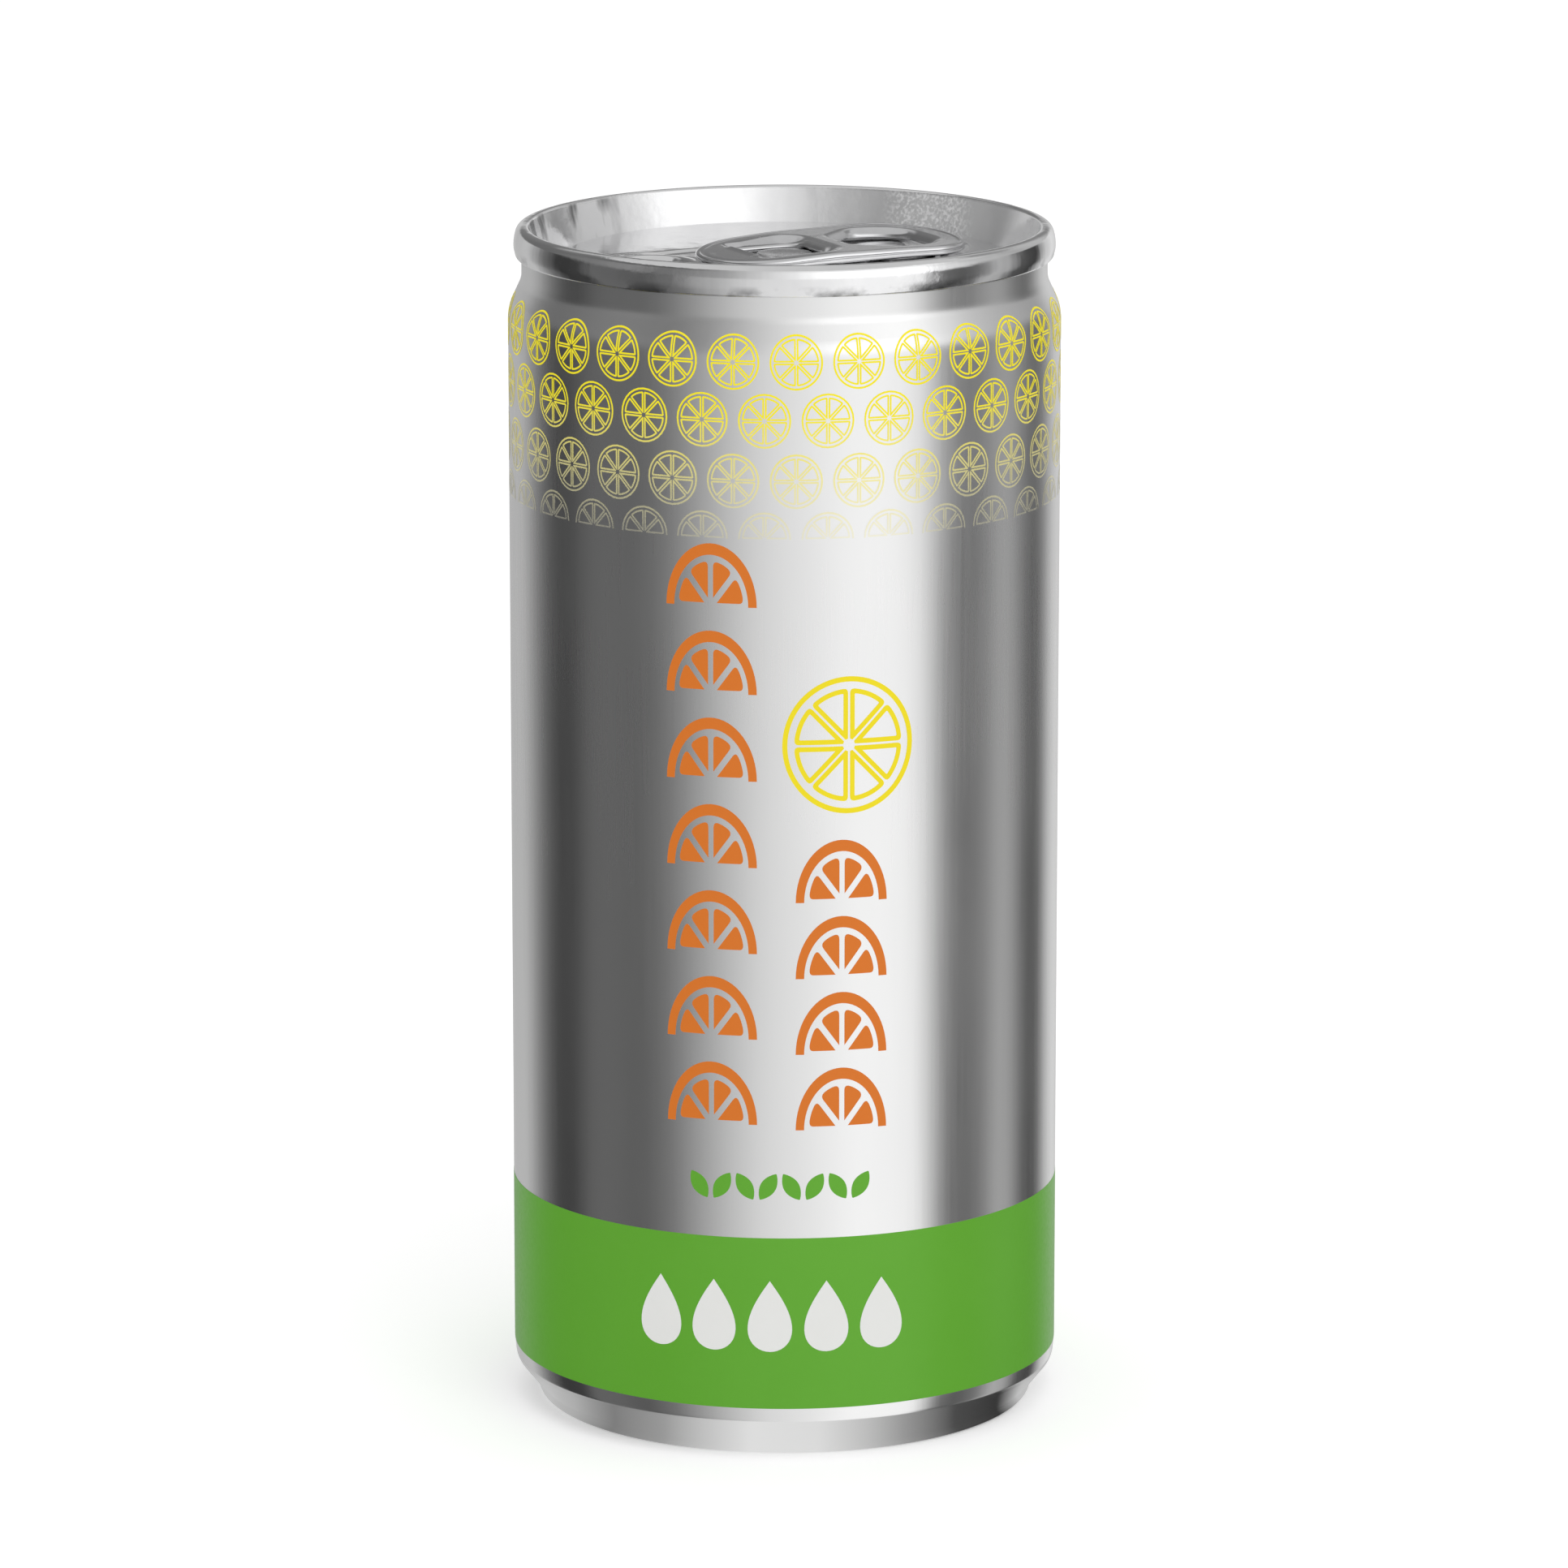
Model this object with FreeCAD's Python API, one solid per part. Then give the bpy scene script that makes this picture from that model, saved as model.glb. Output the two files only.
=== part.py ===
"""Slim 20 cl drinks can, shut and full, with a stay-on-tab end.

Three pieces, in millimetres, +Z up, origin in the middle of the stand ring's plane:
the drawn and ironed body with its contents, the formed end that is double seamed
to it, and the pull tab that the end's own rivet holds.
The tab lies at an angle to the front of the can, which faces -Y.
"""
import FreeCAD, Part
import math
import os

from FreeCAD import Vector

# Body: wall, shoulder and neck
HEIGHT = 115.2
WALL_RADIUS = 26.5
SHOULDER_Z = 107.3
SHOULDER_ROUND = 2.4
NECK_RADIUS = 25.16
NECK_Z = 110.1
NECK_ROUND = 1.8

# Body: chime, stand ring and domed base
CHIME_TOP_Z = 5.4
CHIME_TOP_ROUND = 3.0
CHIME_WAIST_RADIUS = 26.33
CHIME_WAIST_Z = 3.75
CHIME_WAIST_ROUND = 1.4
BEAD_TOP_RADIUS = 24.25
BEAD_TOP_Z = 1.15
BEAD_TOP_ROUND = 0.9
BEAD_RADIUS = 23.98
BEAD_ROUND = 0.65
STAND_INNER_RADIUS = 22.25
DOME_LEG_RADIUS = 22.05
DOME_LEG_ROUND = 1.2
DOME_EDGE_RADIUS = 21.0
DOME_EDGE_Z = 3.1
DOME_HEIGHT = 9.4

# End: double seam, chuck wall, countersink and centre panel
SHEET = 0.3
SEAM_HEIGHT = 2.95
SEAM_FOOT_RADIUS = 25.72
SEAM_FOOT_ROUND = 0.3
SEAM_RADIUS = 25.92
SEAM_SWELL_LOW = 0.85
SEAM_SWELL_HIGH = 1.85
SEAM_SWELL_ROUND = 1.4
SEAM_CREST_RADIUS = 25.68
SEAM_CREST_ROUND = 0.45
CHUCK_TOP_RADIUS = 24.5
CHUCK_FOOT_RADIUS = 23.1
CHUCK_TOP_ROUND = 0.35
COUNTERSINK_Z = 110.0
COUNTERSINK_INNER_RADIUS = 22.05
COUNTERSINK_ROUND = 0.42
PANEL_RADIUS = 21.6
PANEL_Z = 112.1
PANEL_ROUND = 0.45
PANEL_UNDER_ROUND = 0.25

# End: sunken profile, tear-panel bead and rivet, in the tab's own frame
TAB_ANGLE = 27.0
SINK_DEPTH = 0.25
SINK_NOSE_END = -18.6
SINK_NOSE_HALF_WIDTH = 7.0
SINK_NOSE_ROUND = 6.5
SINK_HEEL_END = 4.2
SINK_HEEL_HALF_WIDTH = 8.5
SINK_HEEL_ROUND = 5.5
BEAD_CENTRE_U = -13.3
BEAD_HALF_LENGTH = 5.0
BEAD_HALF_WIDTH = 7.2
BEAD_CORNER_ROUND = 4.7
BEAD_WIDTH = 1.5
BEAD_HEIGHT = 0.2
BEAD_CREST_ROUND = 0.12
RIVET_RADIUS = 1.6
RIVET_HEAD_RADIUS = 2.4
RIVET_HEAD_HEIGHT = 0.3
RIVET_DIMPLE_RADIUS = 1.5
RIVET_DIMPLE_DEPTH = 0.12

# Pull tab: outline in plan
NOSE_CENTRE_U = -1.5
NOSE_RADIUS = 7.2
HEEL_U = 17.7
HEEL_RADIUS = 14.0
HEEL_CORNER_RADIUS = 4.3
HEEL_CORNER_V = 3.8
HEM_ROUND = 0.2

# Pull tab: side profile, from the low nose up to the level heel
NOSE_TOP_Z = 112.55
NOSE_FOOT_Z = 112.17
NOSE_BEND_U = -4.5
TAB_FOOT_Z = 111.92
REST_END_U = 1.5
LEVEL_START_U = 1.8
TAB_TOP_Z = 113.3
LIFT_END_U = 8.0
LIFT_END_Z = 112.3
HEEL_FOOT_Z = 112.35
HEEL_BEND_U = 10.0
HEEL_TOP_Z = 113.2
TAB_BEND_ROUND = 6.0

# Pull tab: rivet window with its rolled lip, and the dish round it
WINDOW_NOSE_U = -4.0
WINDOW_HEEL_U = 2.9
WINDOW_HALF_WIDTH = 3.0
WINDOW_NOSE_ROUND = 0.7
WINDOW_HEEL_ROUND = 1.5
LIP_Z = 112.6
LIP_WIDTH = 0.45
LIP_HEIGHT = 0.15
LIP_ROUND = 0.12
DISH_NOSE_U = -4.6
DISH_NOSE_HALF_WIDTH = 4.8
DISH_NOSE_ROUND = 1.0
DISH_HEEL_U = 4.3
DISH_HEEL_HALF_WIDTH = 6.1
DISH_HEEL_ROUND = 2.8

# Pull tab: riveted island and finger hole
ISLAND_NOSE_U = -4.8
ISLAND_NOSE_HALF_WIDTH = 2.4
ISLAND_HEEL_U = 2.75
ISLAND_HEEL_HALF_WIDTH = 2.7
ISLAND_HEEL_ROUND = 1.5
FINGER_NARROW_U = 6.4
FINGER_NARROW_HALF_WIDTH = 2.6
FINGER_NARROW_ROUND = 1.0
FINGER_WIDE_U = 9.8
FINGER_WIDE_HALF_WIDTH = 5.2
FINGER_WIDE_ROUND = 2.4
FINGER_HEEL_U = 14.6
FINGER_HEEL_HALF_WIDTH = 4.7
FINGER_HEEL_ROUND = 3.6
FINGER_ROLL = 0.7

# How far pieces run into each other before a union, how far cutters pass a surface,
# and how near an edge lies to an outline it follows
OVERLAP = 0.1
PASS = 1.0
NEAR = 0.01


def rounded_wire(corners, place):
    """Closed wire through (a, b, rounding) corners, with tangent arcs at the rounded ones.

    place(a, b) gives the corner's point in space.
    """
    points = [Vector(a, b, 0) for a, b, _ in corners]
    spans = []
    for index, corner in enumerate(points):
        rounding = corners[index][2]
        before = points[index - 1] - corner
        after = points[(index + 1) % len(points)] - corner
        before.normalize()
        after.normalize()
        if rounding == 0:
            spans.append((corner, None, corner))
            continue
        half_angle = before.getAngle(after) / 2
        reach = rounding / math.tan(half_angle)
        bisector = before + after
        bisector.normalize()
        centre = corner + bisector * (rounding / math.sin(half_angle))
        middle = centre - bisector * rounding
        spans.append((corner + before * reach, middle, corner + after * reach))
    edges = []
    for index, (start, middle, end) in enumerate(spans):
        if middle is not None:
            arc = Part.Arc(place(start.x, start.y), place(middle.x, middle.y), place(end.x, end.y))
            edges.append(arc.toShape())
        following = spans[(index + 1) % len(spans)][0]
        if end.distanceToPoint(following) > 1e-6:
            line = Part.LineSegment(place(end.x, end.y), place(following.x, following.y))
            edges.append(line.toShape())
    return Part.Wire(edges)


def upright(radius, height):
    """Point of a profile that is turned about Z or drawn along the tab."""
    return Vector(radius, 0, height)


def level(height):
    """Placing function for an outline that lies level at a height."""
    return lambda along, across: Vector(along, across, height)


def turned(corners):
    """Solid of revolution about Z from a closed (radius, z, rounding) profile."""
    face = Part.Face(rounded_wire(corners, upright))
    return face.revolve(Vector(0, 0, 0), Vector(0, 0, 1), 360)


def prism(corners, bottom, top):
    """Upright prism over a rounded outline in the tab's frame."""
    face = Part.Face(rounded_wire(corners, level(bottom)))
    return face.extrude(Vector(0, 0, top - bottom))


def edges_above(shape, height):
    """Edges of a shape that lie wholly above a height."""
    return [edge for edge in shape.Edges if edge.BoundBox.ZMin > height]


def edges_along(shape, outline, height):
    """Edges of a shape, wholly above a height, that follow a level outline at any height of their own."""
    found = []
    for edge in edges_above(shape, height):
        middle = edge.valueAt((edge.FirstParameter + edge.LastParameter) / 2)
        spot = Part.Vertex(middle.x, middle.y, outline.BoundBox.Center.z)
        is_upright = max(edge.BoundBox.XLength, edge.BoundBox.YLength) < NEAR
        if not is_upright and spot.distToShape(outline)[0] < NEAR:
            found.append(edge)
    return found


def to_tab_angle(shape):
    """The shape turned from the tab's own frame to where the tab lies on the can."""
    shape.rotate(Vector(0, 0, 0), Vector(0, 0, 1), TAB_ANGLE)
    return shape


def chuck_wall_radius(z, outward=0.0):
    """Radius of the inclined chuck wall at a height, moved out by a sheet's thickness."""
    slope = (CHUCK_TOP_RADIUS - CHUCK_FOOT_RADIUS) / (HEIGHT - COUNTERSINK_Z)
    return CHUCK_FOOT_RADIUS + slope * (z - COUNTERSINK_Z) + outward * math.sqrt(1 + slope ** 2)


def end_underside():
    """Corners of the end's underside, from the axis out to the seam's foot."""
    seam_foot = HEIGHT - SEAM_HEIGHT
    groove_z = COUNTERSINK_Z - SHEET
    groove_round = COUNTERSINK_ROUND + SHEET
    underside_z = PANEL_Z - SINK_DEPTH - SHEET
    return [
        (0, underside_z, 0),
        (PANEL_RADIUS - SHEET, underside_z, PANEL_UNDER_ROUND),
        (COUNTERSINK_INNER_RADIUS - SHEET, groove_z, groove_round),
        (chuck_wall_radius(groove_z, SHEET), groove_z, groove_round),
        (chuck_wall_radius(seam_foot, SHEET), seam_foot, 0),
    ]


def dome_corners():
    """Corners of the base dome: the inner leg's top and the spherical crown up to the axis."""
    rise = DOME_HEIGHT - DOME_EDGE_Z
    edge_slope = 2 * math.atan(rise / DOME_EDGE_RADIUS)
    sphere = DOME_EDGE_RADIUS / math.sin(edge_slope)
    crown = sphere * math.tan(edge_slope / 2)
    leg_top_z = DOME_HEIGHT - (DOME_LEG_RADIUS - crown) * math.tan(edge_slope)
    return [
        (DOME_LEG_RADIUS, leg_top_z, DOME_LEG_ROUND),
        (crown, DOME_HEIGHT, sphere),
        (0, DOME_HEIGHT, 0),
    ]


def body():
    """Wall, neck, chime, stand ring and domed base, solid with the contents up to the end."""
    outside = [
        (NECK_RADIUS, HEIGHT - SEAM_HEIGHT, 0),
        (NECK_RADIUS, NECK_Z, NECK_ROUND),
        (WALL_RADIUS, SHOULDER_Z, SHOULDER_ROUND),
        (WALL_RADIUS, CHIME_TOP_Z, CHIME_TOP_ROUND),
        (CHIME_WAIST_RADIUS, CHIME_WAIST_Z, CHIME_WAIST_ROUND),
        (BEAD_TOP_RADIUS, BEAD_TOP_Z, BEAD_TOP_ROUND),
        (BEAD_RADIUS, 0, BEAD_ROUND),
        (STAND_INNER_RADIUS, 0, BEAD_ROUND),
    ]
    return turned(end_underside() + outside + dome_corners())


def mirrored(side):
    """Closed outline from (u, half-width, rounding) corners, named from the nose to the heel."""
    near = [(u, -half_width, rounding) for u, half_width, rounding in side]
    far = [(u, half_width, rounding) for u, half_width, rounding in reversed(side)]
    return near + far


def sink_outline():
    """Outline of the sunken profile round the tear panel and the rivet."""
    return mirrored(
        [
            (SINK_NOSE_END, SINK_NOSE_HALF_WIDTH, SINK_NOSE_ROUND),
            (SINK_HEEL_END, SINK_HEEL_HALF_WIDTH, SINK_HEEL_ROUND),
        ]
    )


def bead_outline(inset):
    """Outline of the tear-panel bead's outer or inner edge."""
    length = BEAD_HALF_LENGTH - inset
    width = BEAD_HALF_WIDTH - inset
    corner = BEAD_CORNER_ROUND - inset
    return mirrored([(BEAD_CENTRE_U - length, width, corner), (BEAD_CENTRE_U + length, width, corner)])


def rivet():
    """The end's own rivet: a shank through the tab's island and a staked, dimpled head."""
    floor = PANEL_Z - SINK_DEPTH
    head_z = floor + SHEET
    shank = Part.makeCylinder(RIVET_RADIUS, SHEET + OVERLAP, Vector(0, 0, floor - OVERLAP))
    head = Part.makeCylinder(RIVET_HEAD_RADIUS, RIVET_HEAD_HEIGHT, Vector(0, 0, head_z))
    head = head.makeFillet(RIVET_HEAD_HEIGHT / 2, edges_above(head, head_z + RIVET_HEAD_HEIGHT / 2))
    dimple = Part.makeCone(
        RIVET_DIMPLE_RADIUS - 2 * RIVET_DIMPLE_DEPTH,
        RIVET_DIMPLE_RADIUS,
        RIVET_DIMPLE_DEPTH,
        Vector(0, 0, head_z + RIVET_HEAD_HEIGHT - RIVET_DIMPLE_DEPTH),
    )
    return shank.fuse(head.cut(dimple))


def end():
    """Formed end: double seam, chuck wall, countersink and profiled centre panel."""
    seam_foot = HEIGHT - SEAM_HEIGHT
    top = [
        (SEAM_FOOT_RADIUS, seam_foot, SEAM_FOOT_ROUND),
        (SEAM_RADIUS, seam_foot + SEAM_SWELL_LOW, SEAM_SWELL_ROUND),
        (SEAM_RADIUS, seam_foot + SEAM_SWELL_HIGH, SEAM_SWELL_ROUND),
        (SEAM_CREST_RADIUS, HEIGHT, SEAM_CREST_ROUND),
        (CHUCK_TOP_RADIUS, HEIGHT, CHUCK_TOP_ROUND),
        (CHUCK_FOOT_RADIUS, COUNTERSINK_Z, COUNTERSINK_ROUND),
        (COUNTERSINK_INNER_RADIUS, COUNTERSINK_Z, COUNTERSINK_ROUND),
        (PANEL_RADIUS, PANEL_Z, PANEL_ROUND),
        (0, PANEL_Z, 0),
    ]
    shell = turned(end_underside() + top)
    floor = PANEL_Z - SINK_DEPTH
    shell = shell.cut(to_tab_angle(prism(sink_outline(), floor, PANEL_Z + PASS)))
    bead = prism(bead_outline(0), floor - OVERLAP, floor + BEAD_HEIGHT)
    bead = bead.cut(prism(bead_outline(BEAD_WIDTH), floor - PASS, floor + PASS))
    bead = bead.makeFillet(BEAD_CREST_ROUND, edges_above(bead, floor + BEAD_HEIGHT / 2))
    return shell.fuse(to_tab_angle(bead)).fuse(rivet()).removeSplitter()


def tab_outline_wire(z):
    """Outline of the tab: round nose, flaring straight sides and a gently bowed heel."""
    bow_centre = HEEL_U - HEEL_RADIUS
    swing = HEEL_RADIUS - HEEL_CORNER_RADIUS
    corner_angle = math.asin(HEEL_CORNER_V / swing)
    corner_u = bow_centre + swing * math.cos(corner_angle)
    run = math.hypot(corner_u - NOSE_CENTRE_U, HEEL_CORNER_V)
    flare = math.atan2(HEEL_CORNER_V, corner_u - NOSE_CENTRE_U)
    lean = flare + math.acos((NOSE_RADIUS - HEEL_CORNER_RADIUS) / run)

    def on_circle(centre_u, centre_v, radius, angle):
        return Vector(centre_u + radius * math.cos(angle), centre_v + radius * math.sin(angle), z)

    side_start = on_circle(NOSE_CENTRE_U, 0, NOSE_RADIUS, lean)
    side_end = on_circle(corner_u, HEEL_CORNER_V, HEEL_CORNER_RADIUS, lean)
    corner_mid = on_circle(corner_u, HEEL_CORNER_V, HEEL_CORNER_RADIUS, (lean + corner_angle) / 2)
    heel_end = on_circle(bow_centre, 0, HEEL_RADIUS, corner_angle)
    nose_tip = Vector(NOSE_CENTRE_U - NOSE_RADIUS, 0, z)
    nose_mid = on_circle(NOSE_CENTRE_U, 0, NOSE_RADIUS, (lean + math.pi) / 2)

    def across(point):
        return Vector(point.x, -point.y, point.z)

    edges = [
        Part.Arc(nose_tip, nose_mid, side_start),
        Part.LineSegment(side_start, side_end),
        Part.Arc(side_end, corner_mid, heel_end),
        Part.Arc(heel_end, Vector(HEEL_U, 0, z), across(heel_end)),
        Part.Arc(across(heel_end), across(corner_mid), across(side_end)),
        Part.LineSegment(across(side_end), across(side_start)),
        Part.Arc(across(side_start), across(nose_mid), nose_tip),
    ]
    return Part.Wire([edge.toShape() for edge in edges])


def tab_blank():
    """The tab's plate: its outline cut from a strip with the bent side profile, edges hemmed round."""
    nose_reach = NOSE_CENTRE_U - NOSE_RADIUS - PASS
    heel_reach = HEEL_U + PASS
    side_profile = [
        (nose_reach, NOSE_FOOT_Z, 0),
        (NOSE_BEND_U, TAB_FOOT_Z, TAB_BEND_ROUND),
        (REST_END_U, TAB_FOOT_Z, TAB_BEND_ROUND),
        (LIFT_END_U, LIFT_END_Z, TAB_BEND_ROUND),
        (heel_reach, HEEL_FOOT_Z, 0),
        (heel_reach, HEEL_TOP_Z, 0),
        (HEEL_BEND_U, TAB_TOP_Z, TAB_BEND_ROUND),
        (LEVEL_START_U, TAB_TOP_Z, TAB_BEND_ROUND),
        (nose_reach, NOSE_TOP_Z, 0),
    ]
    strip = Part.Face(rounded_wire(side_profile, upright))
    strip.translate(Vector(0, -HEEL_RADIUS, 0))
    strip = strip.extrude(Vector(0, 2 * HEEL_RADIUS, 0))
    outline = tab_outline_wire(COUNTERSINK_Z)
    column = Part.Face(outline).extrude(Vector(0, 0, HEIGHT - COUNTERSINK_Z))
    blank = column.common(strip).removeSplitter()
    return blank.makeFillet(HEM_ROUND, edges_along(blank, outline, COUNTERSINK_Z))


def window_outline(grow):
    """Outline of the rivet window, grown all round."""
    return mirrored(
        [
            (WINDOW_NOSE_U - grow, WINDOW_HALF_WIDTH + grow, WINDOW_NOSE_ROUND + grow),
            (WINDOW_HEEL_U + grow, WINDOW_HALF_WIDTH + grow, WINDOW_HEEL_ROUND + grow),
        ]
    )


def dish_outline():
    """Outline of the dish round the rivet window, where it meets the tab's face."""
    return mirrored(
        [
            (DISH_NOSE_U, DISH_NOSE_HALF_WIDTH, DISH_NOSE_ROUND),
            (DISH_HEEL_U, DISH_HEEL_HALF_WIDTH, DISH_HEEL_ROUND),
        ]
    )


def window_lip():
    """The rolled lip that stands up round the rivet window."""
    foot = LIP_Z - SHEET
    lip = prism(window_outline(LIP_WIDTH), foot, LIP_Z + LIP_HEIGHT)
    lip = lip.cut(prism(window_outline(0), foot - PASS, TAB_TOP_Z))
    return lip.makeFillet(LIP_ROUND, edges_above(lip, LIP_Z + LIP_HEIGHT / 2))


def finger_outline():
    """Outline of the finger hole: narrow by the rivet, bowed round to the heel."""
    return mirrored(
        [
            (FINGER_NARROW_U, FINGER_NARROW_HALF_WIDTH, FINGER_NARROW_ROUND),
            (FINGER_WIDE_U, FINGER_WIDE_HALF_WIDTH, FINGER_WIDE_ROUND),
            (FINGER_HEEL_U, FINGER_HEEL_HALF_WIDTH, FINGER_HEEL_ROUND),
        ]
    )


def tab():
    """Pull tab: hemmed plate with a dished rivet window, its lip, and a finger hole."""
    dish = Part.makeLoft(
        [
            rounded_wire(window_outline(LIP_WIDTH), level(LIP_Z)),
            rounded_wire(dish_outline(), level(TAB_TOP_Z)),
        ],
        True,
        True,
    )
    plate = tab_blank().cut(dish)
    plate = plate.cut(prism(finger_outline(), COUNTERSINK_Z, HEIGHT))
    finger_edge = rounded_wire(finger_outline(), level(HEIGHT))
    plate = plate.makeFillet(FINGER_ROLL, edges_along(plate, finger_edge, LIP_Z))
    plate = plate.cut(prism(window_outline(0), COUNTERSINK_Z, HEIGHT))
    return plate.fuse(window_lip())


def island():
    """The tongue that the rivet clamps, joined to the tab at its nose side."""
    floor = PANEL_Z - SINK_DEPTH
    corners = mirrored(
        [
            (ISLAND_NOSE_U, ISLAND_NOSE_HALF_WIDTH, 0),
            (ISLAND_HEEL_U, ISLAND_HEEL_HALF_WIDTH, ISLAND_HEEL_ROUND),
        ]
    )
    tongue = prism(corners, floor, floor + SHEET)
    return tongue.cut(Part.makeCylinder(RIVET_RADIUS, PASS, Vector(0, 0, floor - OVERLAP)))


def main():
    os.makedirs("parts", exist_ok=True)
    nodes = {
        "can_body": body(),
        "can_end": end(),
        "pull_tab": to_tab_angle(tab().fuse(island()).removeSplitter()),
    }
    for name, shape in nodes.items():
        shape.exportStep(f"parts/{name}.step")
        print(name, shape.isValid(), len(shape.Solids), round(shape.Volume, 1), shape.BoundBox)


main()
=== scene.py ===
import math

import bmesh
import bpy
import numpy as np
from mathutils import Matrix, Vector, geometry


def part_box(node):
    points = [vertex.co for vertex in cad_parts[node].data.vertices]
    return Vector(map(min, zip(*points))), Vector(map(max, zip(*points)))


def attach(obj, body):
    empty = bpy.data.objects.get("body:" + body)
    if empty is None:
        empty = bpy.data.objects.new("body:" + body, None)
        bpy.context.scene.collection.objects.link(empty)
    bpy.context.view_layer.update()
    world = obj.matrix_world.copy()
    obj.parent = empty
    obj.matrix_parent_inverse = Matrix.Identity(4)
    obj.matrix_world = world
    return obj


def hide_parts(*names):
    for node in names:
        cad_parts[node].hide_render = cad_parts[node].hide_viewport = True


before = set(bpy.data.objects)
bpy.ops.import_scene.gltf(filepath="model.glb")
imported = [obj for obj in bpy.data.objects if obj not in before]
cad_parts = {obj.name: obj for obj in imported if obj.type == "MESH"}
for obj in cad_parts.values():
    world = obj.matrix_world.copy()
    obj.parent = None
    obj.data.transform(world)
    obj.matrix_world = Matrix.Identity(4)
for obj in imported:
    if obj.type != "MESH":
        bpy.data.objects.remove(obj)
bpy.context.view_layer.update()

# The drawn body.
# One cup of aluminium, drawn and ironed from a disc: a domed base on a narrow stand ring, a thin
# straight wall and a neck that is rolled in under the end. The metal is left satin under clear varnish.
mm = 0.001
body_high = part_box("can_body")[1]
room_for_ink = 0.04 * mm
wall_radius = body_high.x - room_for_ink
seam_foot_z = body_high.z
neck_radius = 25.16 * mm
neck_z = 110.1 * mm
shoulder_z = 107.3 * mm
chime_top_z = 5.4 * mm
dome_height = 9.4 * mm
dome_edge_radius = 21.0 * mm
dome_edge_z = 3.1 * mm
leg_radius = 22.05 * mm
hidden_top_radius = 24.0 * mm
hidden_top_z = 109.6 * mm
around = 384
crease_angle = math.radians(50)


def rounded_path(corners, closed, turn=math.radians(5)):
    """Points along straight runs joined by tangent arcs, from (a, b, rounding) corners."""
    points = []
    for index, (a, b, rounding) in enumerate(corners):
        here = Vector((a, b))
        if rounding == 0 or (not closed and index in (0, len(corners) - 1)):
            points.append(here)
            continue
        back = (Vector(corners[index - 1][:2]) - here).normalized()
        ahead = (Vector(corners[(index + 1) % len(corners)][:2]) - here).normalized()
        half = back.angle(ahead) / 2
        centre = here + (back + ahead).normalized() * (rounding / math.sin(half))
        arm = here + back * (rounding / math.tan(half)) - centre
        sweep = math.copysign(math.pi - 2 * half, -back.cross(ahead))
        steps = max(2, math.ceil(abs(sweep) / turn))
        for step in range(steps + 1):
            angle = sweep * step / steps
            cosine, sine = math.cos(angle), math.sin(angle)
            points.append(centre + Vector((arm.x * cosine - arm.y * sine, arm.x * sine + arm.y * cosine)))
    return [p for index, p in enumerate(points) if index == 0 or (p - points[index - 1]).length > 1e-7]


def make_piece(name, verts, faces, material, slot):
    """A smooth-shaded object from vertices in metres, with its normals outward, riding on the can."""
    mesh = bpy.data.meshes.new(name)
    mesh.from_pydata([tuple(v) for v in verts], [], faces)
    shape = bmesh.new()
    shape.from_mesh(mesh)
    bmesh.ops.recalc_face_normals(shape, faces=shape.faces)
    shape.to_mesh(mesh)
    shape.free()
    mesh.polygons.foreach_set("use_smooth", [True] * len(mesh.polygons))
    mesh.set_sharp_from_angle(angle=crease_angle)
    mesh.materials.append(material)
    piece = bpy.data.objects.new(name, mesh)
    bpy.context.scene.collection.objects.link(piece)
    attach(piece, "root")
    return piece


def turned(outline, segments):
    """Vertices and faces of an outline of (radius, z) points turned about Z."""
    verts, faces, rings = [], [], []
    for radius, z in outline:
        count = segments if radius > 1e-6 else 1
        rings.append(range(len(verts), len(verts) + count))
        for step in range(count):
            angle = 2 * math.pi * step / segments
            verts.append((radius * math.cos(angle), radius * math.sin(angle), z))
    for lower, upper in zip(rings, rings[1:]):
        if len(lower) == len(upper) == 1:
            continue
        for step in range(segments):
            after = (step + 1) % segments
            if len(lower) == 1:
                faces.append((lower[0], upper[step], upper[after]))
            elif len(upper) == 1:
                faces.append((lower[step], lower[after], upper[0]))
            else:
                faces.append((lower[step], lower[after], upper[after], upper[step]))
    return verts, faces


def node_material(name, colour, metallic, roughness):
    """A Principled material and its node tree, to which the piece's own pattern is added."""
    material = bpy.data.materials.new(name)
    material.use_nodes = True
    shader = material.node_tree.nodes["Principled BSDF"]
    shader.inputs["Base Color"].default_value = (*colour, 1)
    shader.inputs["Metallic"].default_value = metallic
    shader.inputs["Roughness"].default_value = roughness
    return material, material.node_tree, shader


def noise(tree, scale, detail, stretch=(1, 1, 1)):
    """Noise in the object's own metres; stretch below 1 draws it out along that axis."""
    place = tree.nodes.new("ShaderNodeTexCoord")
    mapping = tree.nodes.new("ShaderNodeMapping")
    mapping.inputs["Scale"].default_value = stretch
    pattern = tree.nodes.new("ShaderNodeTexNoise")
    pattern.inputs["Scale"].default_value = scale
    pattern.inputs["Detail"].default_value = detail
    tree.links.new(place.outputs["Object"], mapping.inputs["Vector"])
    tree.links.new(mapping.outputs["Vector"], pattern.inputs["Vector"])
    return pattern.outputs["Fac"]


def ranged(tree, value, low, high, new_low, new_high):
    """The value carried from one range to another, held at the ends."""
    node = tree.nodes.new("ShaderNodeMapRange")
    for socket, number in zip(("From Min", "From Max", "To Min", "To Max"), (low, high, new_low, new_high)):
        node.inputs[socket].default_value = number
    tree.links.new(value, node.inputs["Value"])
    return node.outputs["Result"]


def summed(tree, first, second, operation="ADD"):
    """Two values added, or combined by another operation."""
    node = tree.nodes.new("ShaderNodeMath")
    node.operation = operation
    for index, value in enumerate((first, second)):
        if isinstance(value, float):
            node.inputs[index].default_value = value
        else:
            tree.links.new(value, node.inputs[index])
    return node.outputs["Value"]


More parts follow.
